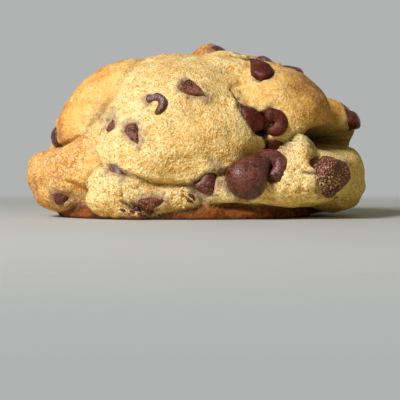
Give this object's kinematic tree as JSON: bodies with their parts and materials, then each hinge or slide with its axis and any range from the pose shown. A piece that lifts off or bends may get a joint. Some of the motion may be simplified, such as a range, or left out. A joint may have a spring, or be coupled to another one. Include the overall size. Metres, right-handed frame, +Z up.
{
  "type": "chocolate chip cookie",
  "caption": "Thick soft-baked chocolate chip cookie: a tall folded mound of golden dough with chocolate chips baked into it, flat underneath.",
  "frame": {"origin": "middle of the cookie's width and depth, on the flat base it rests on", "axes": "+Z up from the flat base, +X along its longest side to the right of the shown face, +Y away from the shown face"},
  "size_m": [0.0888, 0.0815, 0.0465],
  "materials": {
    "baked_dough": "rough",
    "chocolate": "satin"
  },
  "bodies": {
    "root": {"dough": "baked_dough", "chip_front": "chocolate", "chip_shoulder": "chocolate", "chip_shoulder_curl": "chocolate", "chip_right": "chocolate", "chip_ridge": "chocolate", "chip_top": "chocolate", "chip_crest_arc": "chocolate", "chip_crest": "chocolate", "chip_slope": "chocolate", "chip_far_right": "chocolate", "chip_crescent": "chocolate", "chip_centre": "chocolate", "chip_left": "chocolate", "chip_covered": "chocolate", "chip_far_left": "chocolate", "chip_low_left": "chocolate", "chip_seam_left": "chocolate", "chip_hem": "chocolate", "chip_low_middle": "chocolate", "chip_seam_right": "chocolate", "chip_top_left": "chocolate", "chip_top_back": "chocolate", "chip_top_right": "chocolate", "chip_left_side": "chocolate", "chip_left_back": "chocolate", "chip_right_side": "chocolate", "chip_back_left": "chocolate", "chip_back_low": "chocolate", "chip_back_right": "chocolate", "chip_back_seam": "chocolate", "chip_back_far": "chocolate"}
  },
  "joints": []
}
